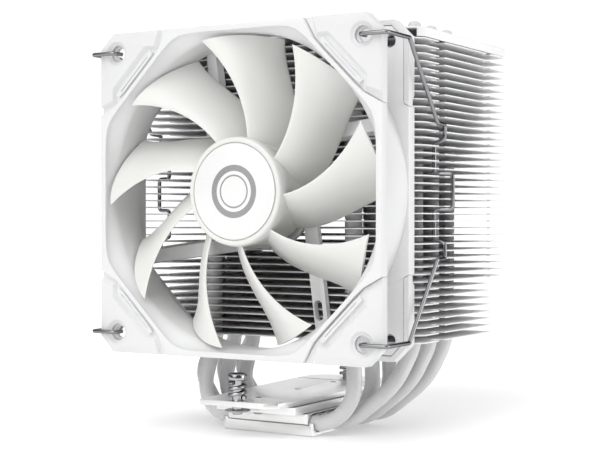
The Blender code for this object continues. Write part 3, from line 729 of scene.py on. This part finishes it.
def plateau_ring(depth, edge):
    """The raised part of a pad: its inner side starts at edge and steps round the recess."""
    near = [(edge, FAN_HALF), (edge + 0.0019, 0.0545 - PLATEAU_SLOPE * depth)]
    near.append((0.0395 - 0.4 * PLATEAU_SLOPE * depth, 0.0545 - PLATEAU_SLOPE * depth))
    outline = near + [(z, x) for x, z in near[::-1]] + [(FAN_HALF, CORNER_CUT), (CORNER_CUT, FAN_HALF)]
    return [(x, depth, z) for x, z in outline]


def pad_shape():
    """A corner pad at +x, +z: a recessed plate, a sloping plateau, a raised bar with a line in it, a hole."""
    stations = ((0, 0.0332), (PAD_RECESS + 0.0001, 0.0320), (0.0020, 0.0320))
    pad = put("pad", [sheet([pad_outline()], PAD_RECESS, FLANGE, upright=True)])
    combine(pad, [loft([plateau_ring(depth, edge) for depth, edge in stations])], "UNION")
    combine(pad, [sheet([PAD_BAR], 0.0001, 0.0020, upright=True)], "UNION")
    combine(pad, [sheet([square_corner(PAD_THICKNESS)], PAD_THICKNESS, 0.01, upright=True)], "DIFFERENCE")
    hole_front = (HOLE_OFFSET, -0.001, HOLE_OFFSET)
    combine(pad, [rod(0.0058, hole_front, (HOLE_OFFSET, 0.0008, HOLE_OFFSET), 64, 0.0036)], "DIFFERENCE")
    combine(pad, [rod(0.0032, hole_front, (HOLE_OFFSET, 0.01, HOLE_OFFSET), 64)], "DIFFERENCE")
    combine(pad, [sheet([PAD_LINE], -0.001, 0.0005, upright=True)], "DIFFERENCE")
    soften(pad, 0.00022, 2, 35)
    return pad


def build_pads(materials):
    names = ("top_right", "bottom_right", "bottom_left", "top_left")
    pad = pad_shape()
    for side in ("front", "rear"):
        for quarter, corner in enumerate(names):
            turn = Matrix.Rotation(quarter * math.pi / 2, 4, "Y")
            if side == "rear":
                flip = Matrix.Translation((0, FAN_DEPTH, 0)) @ Matrix.Rotation(math.pi, 4, "Z")
                turn = turn @ Matrix.Rotation(math.pi / 2, 4, "Y") @ flip
            node = f"{side}_pad_{corner}"
            copy = bpy.data.objects.new(f"{node}_fine", pad.data.copy())
            copy.data.transform(fan_place() @ turn)
            bpy.context.scene.collection.objects.link(copy)
            show(copy, "fan", materials["pad_rubber"], [node])
    bpy.data.objects.remove(pad)


# Impeller


def blade(first_angle, span_steps=28, chord_steps=28):
    """One blade as a closed skin: thin at its edges, thicker along its middle."""
    faces = ([], [])
    for i in range(span_steps + 1):
        span = i / span_steps
        radius = BLADE_ROOT_RADIUS + (BLADE_TIP_RADIUS - BLADE_ROOT_RADIUS) * span
        leading = first_angle - BLADE_LEADING_SWEEP * (1 - span)
        trailing = first_angle - BLADE_TIP_CHORD - BLADE_TRAILING_SWEEP * (1 - span)
        trailing += BLADE_TRAILING_HOLLOW * 4 * span * (1 - span)
        near = BLADE_LEADING_DEPTH[0] + (BLADE_LEADING_DEPTH[1] - BLADE_LEADING_DEPTH[0]) * span
        far = BLADE_TRAILING_DEPTH[0] + (BLADE_TRAILING_DEPTH[1] - BLADE_TRAILING_DEPTH[0]) * span
        camber = BLADE_CAMBER[0] + (BLADE_CAMBER[1] - BLADE_CAMBER[0]) * span
        for side, rows in zip((-1, 1), faces):
            row = []
            for j in range(chord_steps + 1):
                chord = j / chord_steps
                angle = math.radians(leading + (trailing - leading) * chord)
                depth = near + (far - near) * chord**camber
                thickness = BLADE_THICKNESS * (0.25 + 1.5 * math.sqrt(chord * (1 - chord)))
                depth += side * thickness / 2
                row.append((radius * math.cos(angle), depth, radius * math.sin(angle)))
            rows.append(row)
    front, back = faces
    rings = [a + b[::-1] for a, b in zip(front, back)]
    return loft(rings)


def build_impeller(materials):
    hub = turned(HUB_PROFILE, 128)
    hub.transform(Matrix.Rotation(-math.pi / 2, 4, "X"))
    rotor = put("impeller_fine", [hub], fan_place())
    for k in range(BLADES):
        combine(rotor, [blade(BLADE_TIP_ANGLE + 360 / BLADES * k)], "UNION")
    show(rotor, "impeller", materials["blade_plastic"], ["impeller"], 40)
    cap = put("hub_cap_fine", [turned(CAP_PROFILE, 128)], fan_axis())
    show(cap, "impeller", materials["hub_print"], ["hub_cap"])
    label = put("rear_label_fine", [turned(LABEL_PROFILE, 96)], fan_axis())
    show(label, "fan", materials["hub_print"], ["rear_label_disc"])


# Heat pipes and fins


def pipe_base_y(index):
    return (index - (PIPES - 1) / 2) * PIPE_BASE_PITCH


def leg_place(index):
    reach, shift = OUTER_LEG if index % 2 else INNER_LEG
    return reach, pipe_base_y(index) + shift


def pipe_route(index):
    """Half of a pipe, from the middle of the base to its tip, and the radius factor at each point."""
    y = pipe_base_y(index)
    leg_x, leg_y = leg_place(index)
    middle = (0, y, PIPE_BASE_Z)
    if index % 2:
        bends = [(0.0285, y, PIPE_BASE_Z), (0.0435, y + 0.0075, 0.0180), (leg_x, leg_y, 0.0320)]
        radii = (0.013, 0.020, 0.013)
    else:
        bends = [(0.0349, y + 0.0005, PIPE_BASE_Z), (leg_x, leg_y, 0.0310)]
        radii = (0.0137, 0.018)
    points = filleted([middle, *bends, (leg_x, leg_y, PIPE_TOP_Z)], radii, 14)[:-1]
    factors = [1.0] * len(points)
    for below, factor in PIPE_TIP:
        points.append(Vector((leg_x, leg_y, PIPE_TOP_Z - below)))
        factors.append(factor)
    return points[1:], factors[1:]


def build_pipes(materials):
    for index in range(PIPES):
        half, factors = pipe_route(index)
        points = [Vector((-p.x, p.y, p.z)) for p in half[::-1]] + half
        node = f"heat_pipe_{index + 1}"
        pipe = put(f"{node}_fine", [tube(points, PIPE_RADIUS, 10, factors[::-1] + factors)])
        show(pipe, "heatsink", materials["pipe_paint"], [node], 60)


def fin_outline(wide, front, rear, notches):
    side = [(wide - FIN_CHAMFER[0], front), (wide, front + FIN_CHAMFER[1])]
    for start, end, depth in notches:
        side += [(wide, start), (wide - depth, start), (wide - depth, end), (wide, end)]
    side.append((wide, rear))
    return side + [(-x, y) for x, y in side[::-1]]


def leg_places():
    return [(side * leg_place(index)[0], leg_place(index)[1]) for index in range(PIPES) for side in (-1, 1)]


def fin_shapes(wide, front, rear, notches, driver_hole):
    """A fin at z = 0 with a collar round each pipe that reaches down to the fin below."""
    holes = [circle(PIPE_HOLE_RADIUS, 28, at) for at in leg_places()]
    if driver_hole:
        holes.append(circle(DRIVER_HOLE_RADIUS, 28, DRIVER_HOLE))
    outline = fin_outline(wide, front, rear, notches)
    shapes = [sheet([outline] + holes, -FIN_THICKNESS / 2, FIN_THICKNESS / 2)]
    inner = PIPE_HOLE_RADIUS - 0.0001
    for x, y in leg_places():
        collar = turned(
            [
                (inner + 0.0005, -0.0001),
                (inner + 0.0003, -0.0004),
                (inner + 0.0003, -0.0021),
                (inner, -0.0021),
                (inner, -0.0001),
            ],
            24,
        )
        collar.transform(Matrix.Translation((x, y, 0)))
        shapes.append(collar)
    return shapes


def build_fins(frame, materials):
    groups = sorted(n for n in frame["nodes"] if n.startswith("fin_group"))
    low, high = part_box(groups[0])
    top = high.z - FIN_THICKNESS / 2
    wide, front = high.x, low.y
    row = 0
    for node in groups:
        low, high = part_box(node)
        count = round((high.z - low.z - FIN_THICKNESS) / FIN_PITCH) + 1
        long = row < FINS - SHORT_FINS
        notches = (CLIP_NOTCH, REAR_NOTCH) if long else (CLIP_NOTCH,)
        shapes = []
        for _ in range(count):
            fin = joined(fin_shapes(wide, front, high.y, notches, long))
            fin.transform(Matrix.Translation((0, 0, top - row * FIN_PITCH)))
            shapes.append(fin)
            row += 1
        fins = put(f"{node}_fine", shapes)
        show(fins, "heatsink", materials["fin_paint"], [node])


def build_top_plate(materials):
    low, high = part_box("top_plate")
    holes = [circle(PIPE_HOLE_RADIUS + 0.0002, 32, at) for at in leg_places()]
    holes.append(circle(DRIVER_HOLE_RADIUS, 32, DRIVER_HOLE))
    outline = fin_outline(high.x, low.y, high.y, ())
    plate = put("top_plate_fine", [sheet([outline] + holes, high.z - 0.0005, high.z)])
    skirts = []
    outer, inner = high.x - 0.00002, high.x - 0.0006
    for side in (-1, 1):
        half = [
            (inner - 0.0018, low.y + 0.0021),
            (outer - 0.0018, low.y + 0.0021),
            (outer, low.y + FIN_CHAMFER[1]),
            (outer, high.y - 0.0002),
            (inner, high.y - 0.0002),
            (inner, low.y + FIN_CHAMFER[1] + 0.0003),
        ]
        skirts.append(sheet([[(side * x, y) for x, y in half]], low.z, high.z - 0.0002))
    rear_low = (-outer, high.y - 0.0006, low.z + 0.0012)
    skirts.append(box(rear_low, (outer, high.y - 0.00002, high.z - 0.0002)))
    combine(plate, skirts[:2], "UNION")
    combine(plate, skirts[2:], "UNION")
    soften(plate, 0.0002, 2, 40)
    show(plate, "heatsink", materials["fin_paint"], ["top_plate"])


# Base and mount


def cut_bar_groove(bar):
    low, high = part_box("mounting_bar")
    near = (low.x - 0.001, BAR_GROOVE[0], high.z - 0.0012)
    combine(bar, [box(near, (high.x + 0.001, BAR_GROOVE[1], high.z + 0.001))], "DIFFERENCE")


def cut_foot_step(block):
    """A small step all round the foot of the lower block."""
    low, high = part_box("base_lower_block")
    outer = rectangle(low.x - 0.001, low.y - 0.001, high.x + 0.001, high.y + 0.001)
    inner = rectangle(low.x + FOOT_STEP, low.y + FOOT_STEP, high.x - FOOT_STEP, high.y - FOOT_STEP)
    combine(block, [sheet([outer, inner], low.z - 0.001, low.z + FOOT_STEP)], "DIFFERENCE")


def build_base(frame, materials):
    pieces = {}
    for node, width in BASE_EDGES.items():
        pieces[node] = refined(node, frame, materials, "nickel", "heatsink", width)
    cut_foot_step(pieces["base_lower_block"])
    cut_bar_groove(pieces["mounting_bar"])


def build_bar_screws(materials):
    for side in ("front", "rear"):
        node = f"bar_screw_{side}"
        low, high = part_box(node)
        middle = (low + high) / 2
        head, radius = low.z + 0.0010, (high.x - low.x) / 2
        profile = [
            (0, high.z),
            (0.0010, high.z),
            (0.0012, high.z - 0.0002),
            (0.0012, head),
            (radius - 0.0001, head - 0.00001),
            (radius, head - 0.0002),
            (radius, low.z + 0.0004),
            (radius - 0.0005, low.z),
            (0, low.z),
        ]
        screw = put(f"{node}_fine", [turned(profile, 48)], Matrix.Translation((middle.x, middle.y, 0)))
        show(screw, "heatsink", materials["chrome"], [node])


def cross_recess(screw, top):
    reach, width = RECESS_REACH, RECESS_REACH * 0.22
    for x, y in ((reach, width), (width, reach)):
        combine(screw, [box((-x, -y, top - RECESS_DEPTH), (x, y, top + 0.001))], "DIFFERENCE")


def spring_route(steps_per_turn=28):
    """A helix whose first and last parts lie nearly flat."""
    low, high = SPRING_SPAN
    count = round(SPRING_TURNS * steps_per_turn)
    points = []
    for i in range(count + 1):
        share = i / count
        angle = 2 * math.pi * i / steps_per_turn
        rise = min(max((share - SPRING_FLAT) / (1 - 2 * SPRING_FLAT), 0), 1)
        height = low + (high - low) * (0.1 * share + 0.9 * rise)
        points.append((SPRING_RADIUS * math.cos(angle), SPRING_RADIUS * math.sin(angle), height))
    return points


def build_spring_screw(side, place, materials):
    low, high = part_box(f"spring_screw_{side}")
    foot = high.z - SCREW_HEAD
    radius = (high.x - low.x) / 2
    profile = [
        (0, high.z),
        (radius - 0.0006, high.z),
        (radius - 0.0001, high.z - 0.0004),
        (radius, high.z - 0.0008),
        (radius, foot + 0.0003),
        (radius - 0.0003, foot),
        (SHANK_RADIUS, foot - 0.00002),
        (SHANK_RADIUS, 0.0100),
        (SHANK_NECK, 0.00999),
        (SHANK_NECK, 0.0093),
        (SHANK_RADIUS, 0.00929),
        (SHANK_RADIUS, low.z + 0.0004),
        (SHANK_RADIUS - 0.0004, low.z),
        (0, low.z),
    ]
    screw = put(f"spring_screw_{side}_fine", [turned(profile, 64)], place)
    cross_recess(screw, high.z)
    show(screw, f"screw_{side}", materials["chrome"], [f"spring_screw_{side}"])


def build_spring(side, place, materials):
    """A coil spring round the screw, parented to its retainer's body."""
    node = f"coil_spring_{side}"
    spring = put(f"{node}_fine", [tube(spring_route(), SPRING_WIRE, 5)], place)
    spring.data.transform(place)
    spring.matrix_world = Matrix.Identity(4)
    show(spring, f"retainer_{side}", materials["chrome"], [node], 60)
    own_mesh(spring)


def build_spring_screws(materials):
    for side, y in SCREW_Y.items():
        place = Matrix.Translation((SCREW_X, y, 0))
        build_spring_screw(side, place, materials)
        build_spring(side, place, materials)
        ring = put(f"retaining_washer_{side}_fine", [turned(WASHER_PROFILE, 64)], place)
        show(ring, f"retainer_{side}", materials["steel"], [f"retaining_washer_{side}"])


# Wire clips


def clip_route():
    """The right-hand clip: from the fan's upper corner hole to its finger loop, and mirrored below."""
    low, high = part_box("fan_frame")
    axis_z = (low.z + high.z) / 2
    corners = [(x, y + low.y, z + axis_z) for x, y, z in CLIP_CORNERS]
    corners += [(x, y + low.y, axis_z - z) for x, y, z in CLIP_CORNERS[::-1]]
    return filleted(corners, CLIP_RADII + CLIP_RADII[::-1], 6)


def build_clips(materials):
    route = clip_route()
    for side, mirror in (("right", 1), ("left", -1)):
        node = f"wire_clip_{side}"
        points = [(mirror * p.x, p.y, p.z) for p in route]
        clip = put(f"{node}_fine", [tube(points, CLIP_WIRE, 6)])
        show(clip, f"clip_{side}", materials["clip_wire"], [node], 60)


# Stage


def paint_cad_nodes(frame, materials):
    """Gives every CAD node that is still shown the finish of its own slot."""
    for part in frame["record"]["subparts"]:
        node = frame["nodes"][part["node"]]
        if node.hide_render:
            continue
        node.data.materials.clear()
        node.data.materials.append(materials[part["material_slot"]])


def facing(tree, direction, start, end):
    """How closely the world's direction points along the given one: 0 at start, 1 at end, as cosines."""
    place = tree.nodes.new("ShaderNodeTexCoord")
    dot = tree.nodes.new("ShaderNodeVectorMath")
    dot.operation = "DOT_PRODUCT"
    dot.inputs[1].default_value = Vector(direction).normalized()
    tree.links.new(place.outputs["Generated"], dot.inputs[0])
    share = tree.nodes.new("ShaderNodeMapRange")
    share.interpolation_type = "SMOOTHSTEP"
    share.inputs["From Min"].default_value = start
    share.inputs["From Max"].default_value = end
    tree.links.new(dot.outputs["Value"], share.inputs["Value"])
    return share.outputs["Result"]


def scaled_sum(tree, base, terms):
    """base plus each factor times its weight."""
    total = None
    for factor, weight in terms:
        node = tree.nodes.new("ShaderNodeMath")
        node.operation = "MULTIPLY_ADD"
        node.inputs[1].default_value = weight
        node.inputs[2].default_value = base
        tree.links.new(factor, node.inputs[0])
        if total:
            tree.links.new(total, node.inputs[2])
        total = node.outputs[0]
    return total


def studio_world():
    """A dim room with a bright wall behind the cooler and a bright ceiling."""
    world = bpy.data.worlds.new("Studio")
    world.use_nodes = True
    tree = world.node_tree
    wall = facing(tree, BACKDROP, 0.80, 0.95)
    ceiling = facing(tree, (0, 0, 1), 0.50, 0.85)
    key = facing(tree, KEY_SIDE, 0.76, 0.96)
    right = facing(tree, RIGHT_SIDE, 0.80, 0.96)
    strength = scaled_sum(tree, ROOM, [(wall, WALL), (ceiling, CEILING), (key, KEY), (right, RIGHT)])
    background = tree.nodes["Background"]
    background.inputs["Color"].default_value = (1, 1, 1, 1)
    tree.links.new(strength, background.inputs["Strength"])
    return world


def floor_material():
    """White acrylic lit from below, so that shadows on it stay pale."""
    material = finish("light_table", (0.9, 0.9, 0.9), 0.9, shade=0.01, grain_scale=60)
    shader = nodes_of(material)[1]
    shader.inputs["Emission Color"].default_value = (1, 1, 1, 1)
    shader.inputs["Emission Strength"].default_value = FLOOR_GLOW
    return material


def build_stage():
    scene = bpy.context.scene
    scene.view_settings.view_transform = "Standard"
    scene.view_settings.look = "None"
    scene.world = studio_world()
    floor = put("floor", [sheet([circle(8, 96)], -0.002, -0.0002)])
    floor.data.materials.append(floor_material())


def build_camera():
    camera = bpy.data.cameras.new("Camera")
    camera.lens = CAMERA_LENS
    camera.sensor_width = 36
    camera.clip_start = 0.01
    obj = bpy.data.objects.new("Camera", camera)
    obj.location = CAMERA_PLACE
    obj.rotation_euler = CAMERA_TURN
    bpy.context.scene.collection.objects.link(obj)
    bpy.context.scene.camera = obj


def corners(bounds):
    return [list(point) for point in bounds]


for leftover in list(bpy.data.objects):
    bpy.data.objects.remove(leftover)
bpy.context.scene.collection.children.link(HELPERS)
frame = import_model()

materials = make_materials()
build_frame(materials)
build_pads(materials)
build_impeller(materials)
build_pipes(materials)
build_fins(frame, materials)
build_top_plate(materials)
build_base(frame, materials)
build_bar_screws(materials)
build_spring_screws(materials)
build_clips(materials)
paint_cad_nodes(frame, materials)
build_stage()
build_camera()
